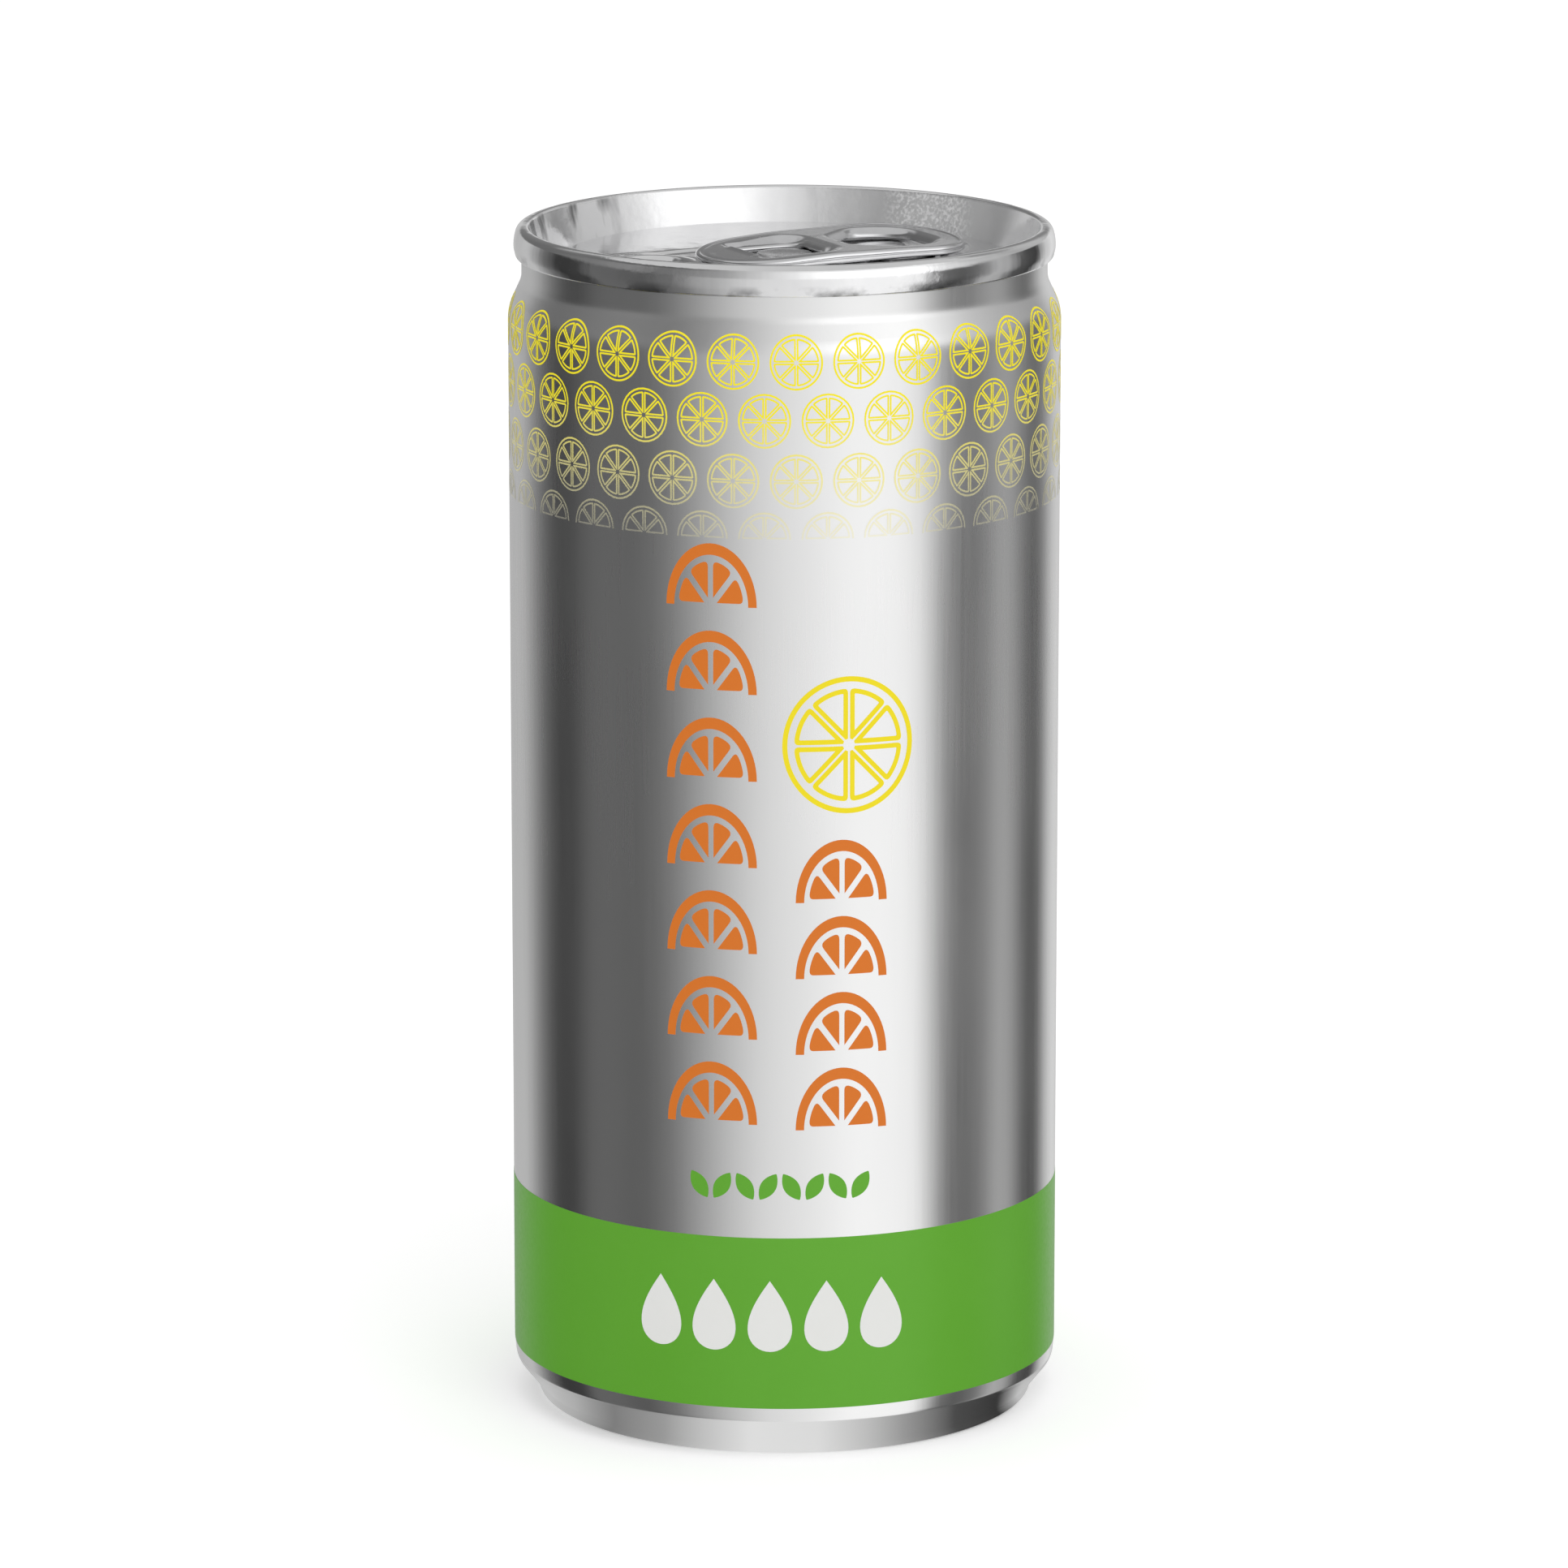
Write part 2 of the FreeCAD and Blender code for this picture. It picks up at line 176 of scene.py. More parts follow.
def times(tree, first, second):
    """Two values multiplied."""
    return summed(tree, first, second, "MULTIPLY")


def height_above_base(tree):
    """Height of the shaded point above the stand ring's plane, in metres."""
    place = tree.nodes.new("ShaderNodeTexCoord")
    parts = tree.nodes.new("ShaderNodeSeparateXYZ")
    tree.links.new(place.outputs["Object"], parts.inputs["Vector"])
    return parts.outputs["Z"]


def blended(tree, factor, first, second):
    """A colour between two colours by a factor."""
    node = tree.nodes.new("ShaderNodeMix")
    node.data_type = "RGBA"
    tree.links.new(factor, node.inputs["Factor"])
    for socket, colour in (("A", first), ("B", second)):
        entry = [item for item in node.inputs if item.name == socket and item.type == "RGBA"][0]
        if isinstance(colour, tuple):
            entry.default_value = (*colour, 1)
        else:
            tree.links.new(colour, entry)
    return [item for item in node.outputs if item.type == "RGBA"][0]


def bumped(tree, shader, height, strength, distance):
    """Relief on the shader's normal from a height pattern."""
    node = tree.nodes.new("ShaderNodeBump")
    node.inputs["Strength"].default_value = strength
    node.inputs["Distance"].default_value = distance
    tree.links.new(height, node.inputs["Height"])
    tree.links.new(node.outputs["Normal"], shader.inputs["Normal"])


def ironed_wall():
    """Satin ironed aluminium: fine upright draw lines and faint clouding, softer towards the neck."""
    material, tree, shader = node_material("ironed_wall", (0.86, 0.86, 0.86), 1.0, 0.3)
    lines = noise(tree, 2600, 3, (1, 1, 0.02))
    clouds = noise(tree, 90, 4, (1, 1, 0.5))
    tint = blended(tree, clouds, (0.83, 0.83, 0.83), (0.89, 0.89, 0.885))
    tree.links.new(tint, shader.inputs["Base Color"])
    rise = ranged(tree, height_above_base(tree), 20 * mm, 106 * mm, 0.22, 0.30)
    base = ranged(tree, height_above_base(tree), 5.0 * mm, 5.6 * mm, -0.08, 0.0)
    grain = ranged(tree, lines, 0.3, 0.7, -0.014, 0.014)
    haze = ranged(tree, clouds, 0.3, 0.7, -0.015, 0.015)
    roughness = summed(tree, summed(tree, rise, base), summed(tree, grain, haze))
    tree.links.new(roughness, shader.inputs["Roughness"])
    bumped(tree, shader, lines, 0.07, 0.02 * mm)
    return material


def dome_corners():
    """The inner leg's top and the spherical crown up to the axis."""
    rise = dome_height - dome_edge_z
    edge_slope = 2 * math.atan(rise / dome_edge_radius)
    sphere = dome_edge_radius / math.sin(edge_slope)
    crown = sphere * math.tan(edge_slope / 2)
    leg_top_z = dome_height - (leg_radius - crown) * math.tan(edge_slope)
    return [(leg_radius, leg_top_z, 1.2 * mm), (crown, dome_height, sphere), (0, dome_height, 0)]


# Corners down the outside, as (radius, height, rounding).
outer_corners = [
    (neck_radius, seam_foot_z, 0),
    (neck_radius, neck_z, 2.6 * mm),
    (wall_radius, shoulder_z, 5.0 * mm),
    (wall_radius, chime_top_z, 3.0 * mm),
    (26.33 * mm, 3.75 * mm, 1.4 * mm),
    (24.25 * mm, 1.15 * mm, 0.9 * mm),
    (23.98 * mm, 0.0, 0.65 * mm),
    (22.25 * mm, 0.0, 0.65 * mm),
]
hidden_corners = [(0, hidden_top_z, 0), (23.2 * mm, hidden_top_z, 0), (hidden_top_radius, seam_foot_z, 0)]
body_outline = rounded_path(hidden_corners + outer_corners + dome_corners(), False)
can_wall = make_piece("can_wall", *turned(body_outline, around), ironed_wall(), "can_wall")
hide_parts("can_body")

# The end.
# A stamped sheet of aluminium: the double seam that clamps it to the body, a sloping chuck wall,
# a countersink groove, and a centre panel with a sunken profile and the tear panel's raised bead.
end_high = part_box("can_end")[1]
seam_radius = end_high.x - 0.01 * mm
rim_z = end_high.z
panel_z = 112.1 * mm
panel_radius = 21.6 * mm
flat_radius = panel_radius - 0.9 * mm
groove_inner_radius = 22.05 * mm
chuck_foot_radius = 23.1 * mm
chuck_top_radius = 24.5 * mm
countersink_z = 110.0 * mm
sink_depth = 0.25 * mm
sheet = 0.3 * mm
tab_turn = math.radians(27)
end_around = 480
panel_step = 0.17 * mm


def resampled(points, step, closed=True):
    """Points at even steps along a path."""
    loop = [Vector(p) for p in points]
    if closed:
        loop.append(loop[0].copy())
    lengths = [0.0]
    for first, second in zip(loop, loop[1:]):
        lengths.append(lengths[-1] + (second - first).length)
    count = max(3, round(lengths[-1] / step))
    targets = np.arange(count + (0 if closed else 1)) * lengths[-1] / count
    table = np.array([tuple(p) for p in loop])
    return np.stack([np.interp(targets, lengths, table[:, axis]) for axis in (0, 1)], axis=1)


def inside(points, outline):
    """Whether each point lies inside a closed outline."""
    x, y = points[:, 0], points[:, 1]
    result = np.zeros(len(points), bool)
    for (ax, ay), (bx, by) in zip(outline, np.roll(outline, -1, axis=0)):
        crosses = (ay > y) != (by > y)
        if ay != by:
            result ^= crosses & (x < ax + (y - ay) * (bx - ax) / (by - ay))
    return result


def depth_inside(points, outline):
    """Distance of each point from a closed outline, positive inside it."""
    best = np.full(len(points), np.inf)
    for start, end in zip(outline, np.roll(outline, -1, axis=0)):
        run = end - start
        along = np.clip(((points - start) @ run) / max(run @ run, 1e-18), 0, 1)
        best = np.minimum(best, np.linalg.norm(points - start - along[:, None] * run, axis=1))
    return np.where(inside(points, outline), best, -best)


def eased(value):
    """Smooth step from 0 to 1."""
    t = np.clip(value, 0, 1)
    return t * t * (3 - 2 * t)


def in_mm(*rows):
    """Rows of millimetres as rows of metres."""
    return [tuple(value * mm for value in row) for row in rows]


relief_step = 0.15 * mm
sink_corners = in_mm((-18.6, -7.0, 6.5), (4.2, -8.5, 5.5), (4.2, 8.5, 5.5), (-18.6, 7.0, 6.5))
bead_corners = in_mm((-17.55, -6.45, 3.95), (-9.05, -6.45, 3.95), (-9.05, 6.45, 3.95), (-17.55, 6.45, 3.95))
sink_slope = 0.8 * mm
bead_reach = 1.1 * mm
bead_height = 0.34 * mm
bead_fullness = 1.3
tear_depth = 0.16 * mm
tear_slope = 0.5 * mm
score_depth = 0.12 * mm
score_offset = 1.6 * mm
score_reach = 0.45 * mm
finger_well_u = 16.5 * mm
finger_well_length = 3.2 * mm
finger_well_width = 5.5 * mm
finger_well_depth = 0.35 * mm
coined_radius = 3.3 * mm
coined_reach = 0.5 * mm
coined_depth = 0.08 * mm


def panel_relief(points):
    """Height of the centre panel against its flat, at points in the tab's frame."""
    sink = resampled(rounded_path(sink_corners, True), relief_step)
    bead_middle = resampled(rounded_path(bead_corners, True), relief_step)
    sunk = eased(depth_inside(points, sink) / sink_slope + 0.5)
    bead_depth = depth_inside(points, bead_middle)
    crest = np.clip(1 - np.abs(bead_depth) / bead_reach, 0, 1)
    bead = bead_height * eased(crest * bead_fullness)
    tear = tear_depth * eased(bead_depth / tear_slope - 1.2)
    score = score_depth * eased(1 - np.abs(bead_depth + score_offset) / score_reach)
    along, across = (points[:, 0] - finger_well_u) / finger_well_length, points[:, 1] / finger_well_width
    finger_well = finger_well_depth * eased(1 - along ** 2 - across ** 2)
    coin = np.linalg.norm(points, axis=1)
    coining = coined_depth * eased(1 - np.abs(coin - coined_radius) / coined_reach)
    return bead - sink_depth * sunk - tear - score - finger_well - coining


def bright_sheet():
    """Bright lacquered sheet: straight mill grain, cloudy handling marks and a patchy orange peel.

    The seaming chuck leaves the lacquer on the chuck wall scuffed pale and pitted on the right. Its colour
    has painted dark reflection streaks on the left, and painted shade in patches along the foot of the seam.
    """
    material, tree, shader = node_material("bright_end", (0.86, 0.86, 0.87), 1.0, 0.2)
    place = tree.nodes.new("ShaderNodeTexCoord")
    across = tree.nodes.new("ShaderNodeVectorMath")
    across.operation = "MULTIPLY"
    across.inputs[1].default_value = (1, 1, 0)
    tree.links.new(place.outputs["Object"], across.inputs[0])
    off_axis = tree.nodes.new("ShaderNodeVectorMath")
    off_axis.operation = "LENGTH"
    tree.links.new(across.outputs["Vector"], off_axis.inputs[0])
    sides = tree.nodes.new("ShaderNodeSeparateXYZ")
    tree.links.new(place.outputs["Object"], sides.inputs["Vector"])

    def rising(value, low, high):
        return ranged(tree, value, low * mm, high * mm, 0.0, 1.0)

    def falling(value, low, high):
        return ranged(tree, value, low * mm, high * mm, 1.0, 0.0)

    radius, x = off_axis.outputs["Value"], sides.outputs["X"]
    # Where painted shade goes: the foot of the seam, next to the neck.
    seam_foot_shade_mask = times(tree, falling(height_above_base(tree), 112.4, 113.4), rising(radius, 24.9, 25.2))
    chuck_wall = times(tree, rising(radius, 22.6, 23.2), falling(radius, 24.4, 24.55))
    pitted = times(tree, times(tree, rising(x, 9.5, 11.5), falling(x, 16.5, 18.5)), chuck_wall)
    # Where painted reflection goes: dark streaks on the left of the chuck wall.
    painted_streak_side = times(tree, falling(x, -18.5, -15.0), chuck_wall)

    grain = noise(tree, 1500, 3, (0.03, 1, 1))
    clouds = noise(tree, 420, 5)
    patches = noise(tree, 75, 2)
    peel = noise(tree, 1100, 3)
    streaks = noise(tree, 230, 3, (1, 1, 0.05))
    # Patches of the painted shade along the foot of the seam.
    painted_shade_patches = ranged(tree, noise(tree, 210, 5, (1, 1, 1.6)), 0.5, 0.62, 0.0, 0.8)
    pits = ranged(tree, noise(tree, 3000, 3), 0.44, 0.64, 0.0, 0.38)
    # Streaks of the painted reflection on the left of the chuck wall.
    painted_reflection_streaks = ranged(tree, noise(tree, 300, 3, (1, 1, 0.15)), 0.5, 0.58, 0.0, 0.85)

    tint = blended(tree, clouds, (0.80, 0.80, 0.81), (0.92, 0.92, 0.92))
    # Painted shade: near-black patches along the foot of the seam.
    tint = blended(tree, times(tree, painted_shade_patches, seam_foot_shade_mask), tint, (0.1, 0.1, 0.1))
    # Painted reflection: near-black streaks on the left of the chuck wall.
    tint = blended(tree, times(tree, painted_reflection_streaks, painted_streak_side), tint, (0.06, 0.06, 0.06))
    tree.links.new(tint, shader.inputs["Base Color"])
    scuffed_metallic = 0.66
    scuffed = ranged(tree, chuck_wall, 0.0, 1.0, 1.0, scuffed_metallic)
    frosted = summed(tree, scuffed, times(tree, pits, pitted), "SUBTRACT")
    tree.links.new(frosted, shader.inputs["Metallic"])
    gloss = ranged(tree, grain, 0.3, 0.7, 0.05, 0.10)
    marks = ranged(tree, clouds, 0.5, 0.7, 0.0, 0.08)
    dulled = ranged(tree, patches, 0.5, 0.62, 0.0, 0.08)
    tree.links.new(summed(tree, gloss, summed(tree, marks, dulled)), shader.inputs["Roughness"])
    rough_skin = times(tree, ranged(tree, patches, 0.5, 0.58, 0.0, 3.0), peel)
    skin = summed(tree, rough_skin, times(tree, clouds, 0.6))
    skin = summed(tree, skin, times(tree, streaks, 6.0))
    bumped(tree, shader, skin, 0.22, 0.04 * mm)
    return material


def chuck_wall_radius(z):
    """Radius of the sloping chuck wall at a height."""
    rise = (z - countersink_z) / (rim_z - countersink_z)
    return chuck_foot_radius + (chuck_top_radius - chuck_foot_radius) * rise


seam_inner_radius = hidden_top_radius + 0.1 * mm
seam_under_z = seam_foot_z + 0.02 * mm
underside_z = panel_z - sink_depth - 0.9 * sheet
seam_corners = [
    (seam_inner_radius, seam_under_z, 0),
    (seam_radius - 0.2 * mm, seam_under_z, 0.3 * mm),
    (seam_radius, seam_foot_z + 0.85 * mm, 1.4 * mm),
    (seam_radius, seam_foot_z + 1.75 * mm, 3.9 * mm),
    (seam_radius - 0.37 * mm, rim_z, 0.84 * mm),
    (chuck_wall_radius(rim_z), rim_z, 0.35 * mm),
    (chuck_foot_radius, countersink_z, 0.42 * mm),
    (groove_inner_radius, countersink_z, 0.42 * mm),
    (panel_radius, panel_z, 0.45 * mm),
    (flat_radius, panel_z, 0),
]
end_outline = [(p.x, p.y) for p in rounded_path(seam_corners, False, math.radians(8))]
panel_rings = round(flat_radius / panel_step)
for ring in range(panel_rings - 1, -1, -1):
    end_outline.append((flat_radius * ring / panel_rings, panel_z))
end_outline += [
    (0.0, underside_z),
    (panel_radius - 2 * sheet, underside_z),
    (groove_inner_radius - 0.8 * sheet, countersink_z - 0.8 * sheet),
    (chuck_foot_radius + 0.8 * sheet, countersink_z - 0.8 * sheet),
    (seam_inner_radius, seam_under_z),
]
end_verts, end_faces = turned(end_outline, end_around)
end_table = np.array(end_verts)
turn_back = np.array([[math.cos(tab_turn), -math.sin(tab_turn)], [math.sin(tab_turn), math.cos(tab_turn)]])
on_flat = np.hypot(end_table[:, 0], end_table[:, 1]) < flat_radius + 0.1 * mm
on_panel = on_flat & (end_table[:, 2] > panel_z - 0.01 * mm)
end_table[on_panel, 2] += panel_relief(end_table[on_panel, :2] @ turn_back)
can_end = make_piece("end_sheet", end_table, end_faces, bright_sheet(), "end_metal")
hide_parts("can_end")

# The rivet.
# It is drawn up out of the end's own sheet, put through the tab and staked flat, which leaves
# a low round head with a shallow dimple.
island_z = panel_z - sink_depth + sheet
rivet_head_radius = 2.65 * mm
rivet_rim_radius = 1.9 * mm
rivet_dimple_radius = 0.9 * mm
rivet_root_z = island_z - 0.15 * mm
rivet_top_z = island_z + 0.3 * mm
rivet_dimple_z = island_z + 0.18 * mm


def staked_metal():
    """Bright metal with the punch's faint marks."""
    material, tree, shader = node_material("staked_metal", (0.84, 0.84, 0.85), 1.0, 0.2)
    marks = noise(tree, 1800, 4)
    tree.links.new(ranged(tree, marks, 0.3, 0.7, 0.14, 0.28), shader.inputs["Roughness"])
    bumped(tree, shader, marks, 0.15, 0.03 * mm)
    return material


rivet_corners = [
    (0, rivet_root_z, 0),
    (rivet_head_radius, rivet_root_z, 0),
    (rivet_head_radius, rivet_top_z, 0.14 * mm),
    (rivet_rim_radius, rivet_top_z, 0.8 * mm),
    (rivet_dimple_radius, rivet_dimple_z, 1.6 * mm),
    (0, rivet_dimple_z, 0),
]
make_piece("rivet_head", *turned(rounded_path(rivet_corners, False), 96), staked_metal(), "end_metal")

# The pull tab.
# Stamped from aluminium strip and curled under all round into a hem, with a dished window for the
# rivet's island and a finger hole whose edge is rolled down. It lies shut on the end.
nose_centre_u = -1.5 * mm
nose_radius = 7.2 * mm
heel_u = 17.7 * mm
heel_radius = 14.0 * mm
heel_corner_radius = 4.3 * mm
heel_corner_v = 3.8 * mm
tab_step = 0.2 * mm
# Heights in millimetres along the tab, of its top and of the hem's foot.
top_line = [(-9.5, 112.56), (-4.5, 112.93), (1.8, 113.3), (10.0, 113.3), (16.5, 113.2)]
foot_line = [(-9.5, 112.14), (-4.5, 111.93), (1.5, 112.1), (8.0, 112.3), (16.5, 112.33)]
bend_reach = 1.2
bend_samples = 7


def along_tab(line, u):
    """Height of a line that runs along the tab, with its bends eased."""
    knots, heights = np.array(line).T * mm
    shifts = np.linspace(-bend_reach, bend_reach, bend_samples)
    return sum(np.interp(u + shift * mm, knots, heights) for shift in shifts) / bend_samples


def tab_outline():
    """Round nose, flaring sides, round heel corners and a gently bowed heel."""
    swing = heel_radius - heel_corner_radius
    corner_angle = math.asin(heel_corner_v / swing)
    bow_u = heel_u - heel_radius
    corner_u = bow_u + swing * math.cos(corner_angle)
    run = math.hypot(corner_u - nose_centre_u, heel_corner_v)
    lean = math.atan2(heel_corner_v, corner_u - nose_centre_u)
    lean += math.acos((nose_radius - heel_corner_radius) / run)
    half = []
    for centre_u, centre_v, radius, start, end in (
        (bow_u, 0, heel_radius, 0, corner_angle),
        (corner_u, heel_corner_v, heel_corner_radius, corner_angle, lean),
        (nose_centre_u, 0, nose_radius, lean, math.pi),
    ):
        for angle in np.linspace(start, end, 40):
            half.append((centre_u + radius * math.cos(angle), centre_v + radius * math.sin(angle)))
    mirrored = [(u, -v) for u, v in reversed(half[1:-1])]
    return resampled(half + mirrored, tab_step)


def outward(outline):
    """Unit normals of a closed anticlockwise outline, pointing out of it."""
    run = np.roll(outline, -1, axis=0) - np.roll(outline, 1, axis=0)
    normals = np.stack([run[:, 1], -run[:, 0]], axis=1)
    return normals / np.linalg.norm(normals, axis=1)[:, None]


def smooth_profile(points, parts=3):
    """A curve through the points of a cross-section."""
    table = np.array(points)
    padded = np.vstack([2 * table[0] - table[1], table, 2 * table[-1] - table[-2]])
    curve = []
    for index in range(1, len(padded) - 2):
        p0, p1, p2, p3 = padded[index - 1:index + 3]
        for t in np.arange(parts) / parts:
            curve.append(
                0.5 * (2 * p1 + (p2 - p0) * t + (2 * p0 - 5 * p1 + 4 * p2 - p3) * t ** 2
                       + (3 * p1 - p0 - 3 * p2 + p3) * t ** 3)
            )
    return curve + [table[-1]]


def even_grid(outline, spacing):
    """Points at even steps over the box round an outline."""
    low, high = outline.min(axis=0), outline.max(axis=0)
    columns, rows = np.arange(low[0], high[0], spacing), np.arange(low[1], high[1], spacing)
    return np.stack(np.meshgrid(columns, rows), axis=-1).reshape(-1, 2)


def triangles_over(points, edges, wanted_at):
    """Triangles over points that keep to the edges, where wanted_at holds at their middles."""
    scaled = [Vector(p / mm) for p in points]
    found, _, triangles, origins, _, _ = geometry.delaunay_2d_cdt(scaled, edges, [], 1, 1e-6)
    middles = np.array([np.mean([found[i] for i in face], axis=0) for face in triangles]) * mm
    kept = [face for face, wanted in zip(triangles, wanted_at(middles)) if wanted]
    return [[origins[i][0] for i in face] for face in kept]


class TabMesh:
    """Vertices and faces of the tab in its own frame."""

    def __init__(self):
        self.verts = []
        self.faces = []

    def ring(self, outline, heights):
        """Adds a closed ring of vertices and returns their numbers."""
        start = len(self.verts)
        self.verts += [(u, v, z) for (u, v), z in zip(outline, heights)]
        return list(range(start, start + len(outline)))

    def join(self, first, second):
        """Quads between two rings of the same count."""
        for index in range(len(first)):
            after = (index + 1) % len(first)
            self.faces.append((first[index], first[after], second[after], second[index]))

    def skin(self, outer, holes, spacing, height):
        """Fine triangles between an outer ring and holes, over even points at the given height."""
        rings = [outer] + holes
        flat = [np.array([self.verts[i][:2] for i in ring]) for ring in rings]
        grid = even_grid(flat[0], spacing)
        keep = depth_inside(grid, flat[0]) > 0.6 * spacing
        for hole in flat[1:]:
            keep &= depth_inside(grid, hole) < -0.6 * spacing
        grid = grid[keep]
        points = np.vstack(flat + [grid])
        edges, start = [], 0
        for ring in flat:
            edges += [(start + k, start + (k + 1) % len(ring)) for k in range(len(ring))]
            start += len(ring)
        numbers = [i for ring in rings for i in ring]
        numbers += range(len(self.verts), len(self.verts) + len(grid))
        self.verts += [(u, v, z) for (u, v), z in zip(grid, height(grid))]

        def on_metal(middles):
            solid = inside(middles, flat[0])
            for hole in flat[1:]:
                solid &= ~inside(middles, hole)
            return solid

        self.faces += [tuple(numbers[i] for i in face) for face in triangles_over(points, edges, on_metal)]


window_corners = in_mm((-4.0, -2.9, 0.7), (2.9, -3.1, 1.5), (2.9, 3.1, 1.5), (-4.0, 2.9, 0.7))
dish_corners = in_mm((-4.5, -4.9, 0.8), (4.3, -6.1, 2.8), (4.3, 6.1, 2.8), (-4.5, 4.9, 0.8))
finger_corners = in_mm(
    (6.4, -2.6, 1.0), (9.8, -5.3, 2.4), (14.7, -4.7, 3.6), (14.7, 4.7, 3.6), (9.8, 5.3, 2.4), (6.4, 2.6, 1.0)
)
dish_floor_z = 112.55 * mm
web_drop = 0.05 * mm
web_thickness = 0.3 * mm
web_lowest_z = 112.2 * mm
web_spacing = 0.22 * mm
hidden_spacing = 0.5 * mm
dish_nose = [-4.5 * mm, -2.5 * mm]
dish_slope = [0.45 * mm, 1.9 * mm]
dish_edge = resampled(rounded_path(dish_corners, True), tab_step)
window_edge = resampled(rounded_path(window_corners, True), tab_step)
finger_edge = resampled(rounded_path(finger_corners, True), tab_step)
# Millimetres in from the outline and down, and the share of the way from the foot line to the top.
hem_section = [
    (1.35, -0.12, 0.00), (1.0, -0.02, 0.00), (0.55, 0.0, 0.00), (0.2, 0.0, 0.08), (0.03, 0.0, 0.22),
    (0.0, 0.0, 0.32), (0.07, 0.0, 0.44), (0.0, 0.0, 0.56), (0.02, 0.0, 0.74), (0.14, 0.0, 0.93),
    (0.32, 0.0, 1.0), (0.46, 0.02, 1.0), (0.56, 0.06, 1.0), (0.75, 0.05, 1.0),
]
# Millimetres out from each hole's edge and down from the face.
finger_section = [
    (0.95, 0.05), (0.8, 0.07), (0.55, 0.17), (0.3, 0.34), (0.12, 0.54), (0.02, 0.72), (0.0, 0.84),
    (0.07, 0.95), (0.25, 1.0), (0.5, 0.97),
]
window_section = [
    (1.0, 0.0), (0.75, -0.05), (0.5, -0.13), (0.3, -0.15), (0.12, -0.1), (0.0, 0.04), (0.0, 0.2),
    (0.08, 0.32), (0.3, 0.36),
]


def web_height(points):
    """Height of the tab's face: level along the tab and dished round the rivet window."""
    top = along_tab(top_line, points[:, 0]) - web_drop
    depth = depth_inside(points, dish_edge)
    dished = eased(depth / np.interp(points[:, 0], dish_nose, dish_slope))
    return top * (1 - dished) + dish_floor_z * dished


tab_mesh = TabMesh()
edge = tab_outline()
edge_out = outward(edge)
edge_top = along_tab(top_line, edge[:, 0])
edge_foot = along_tab(foot_line, edge[:, 0])
hem_rings = []
for inset, drop, rise in smooth_profile(hem_section):
    path = edge - edge_out * inset * mm
    hem_rings.append(tab_mesh.ring(path, edge_foot + (edge_top - edge_foot) * rise - drop * mm))
for first, second in zip(hem_rings, hem_rings[1:]):
    tab_mesh.join(first, second)

hole_rings = []
for outline, section, level_at in (
    (finger_edge, finger_section, lambda p: along_tab(top_line, p[:, 0])),
    (window_edge, window_section, web_height),
):
    out = outward(outline)
    rings = []
    for spread, drop in smooth_profile(section):
        path = outline + out * spread * mm
        rings.append(tab_mesh.ring(path, level_at(path) - drop * mm))
    for first, second in zip(rings, rings[1:]):
        tab_mesh.join(first, second)
    hole_rings.append(rings)

tab_mesh.skin(hem_rings[-1], [rings[0] for rings in hole_rings], web_spacing, web_height)
tab_mesh.skin(
    hem_rings[0],
    [rings[-1] for rings in hole_rings],
    hidden_spacing,
    lambda p: np.maximum(web_height(p) - web_thickness, web_lowest_z),
)


def on_can(verts):
    """Points turned from the tab's frame to where the tab lies on the can."""
    cosine, sine = math.cos(tab_turn), math.sin(tab_turn)
    return [(u * cosine - v * sine, u * sine + v * cosine, z) for u, v, z in verts]


def tab_metal():
    """Bright stamped strip with a soft grain along it and small handling scuffs."""
    material, tree, shader = node_material("tab_strip", (0.72, 0.72, 0.73), 1.0, 0.15)
    grain = noise(tree, 2200, 3, (1, 0.3, 1))
    scuffs = noise(tree, 700, 6)
    tint = blended(tree, scuffs, (0.68, 0.68, 0.69), (0.77, 0.77, 0.78))
    tree.links.new(tint, shader.inputs["Base Color"])
    gloss = ranged(tree, grain, 0.3, 0.7, 0.12, 0.17)
    worn = ranged(tree, scuffs, 0.62, 0.72, 0.0, 0.15)
    tree.links.new(summed(tree, gloss, worn), shader.inputs["Roughness"])
    bumped(tree, shader, scuffs, 0.06, 0.03 * mm)
    return material


tab_finish = tab_metal()
tab = make_piece("pull_tab_strip", on_can(tab_mesh.verts), tab_mesh.faces, tab_finish, "tab_metal")

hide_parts("pull_tab")

# The rivet island.
# The tongue in the tab's window, of the same strip, left joined at its nose end and pressed down
# on to the panel, where the rivet's head clamps it.
island_thickness = 0.3 * mm
island_corners = in_mm((-4.6, -2.4, 0.8), (2.75, -2.7, 1.5), (2.75, 2.7, 1.5), (-4.6, 2.4, 0.8))
island_section = [(0.4, 0.3), (0.0, 0.28), (0.0, 0.08), (0.03, 0.03), (0.1, 0.0), (0.4, 0.0)]
island_edge = resampled(rounded_path(island_corners, True), tab_step)
island_mesh = TabMesh()
island_rings = []
for inset, drop in island_section:
    path = island_edge - outward(island_edge) * inset * mm
    island_rings.append(island_mesh.ring(path, np.full(len(path), island_z - drop * mm)))
for first, second in zip(island_rings, island_rings[1:]):
    island_mesh.join(first, second)
for ring, z in ((island_rings[-1], island_z), (island_rings[0], island_z - island_thickness)):
    island_mesh.skin(ring, [], hidden_spacing, lambda p: np.full(len(p), z))
island = make_piece("rivet_island", on_can(island_mesh.verts), island_mesh.faces, tab_finish, "tab_metal")
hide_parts("pull_tab")

# The green band.
# The first of the inks that are rolled on to the bare wall and baked under clear varnish:
# a solid green field round the foot of the wall.
ink_thickness = 0.02 * mm
band_low = 5.25 * mm
band_high = 22.1 * mm
band_foot_top = 6.4 * mm
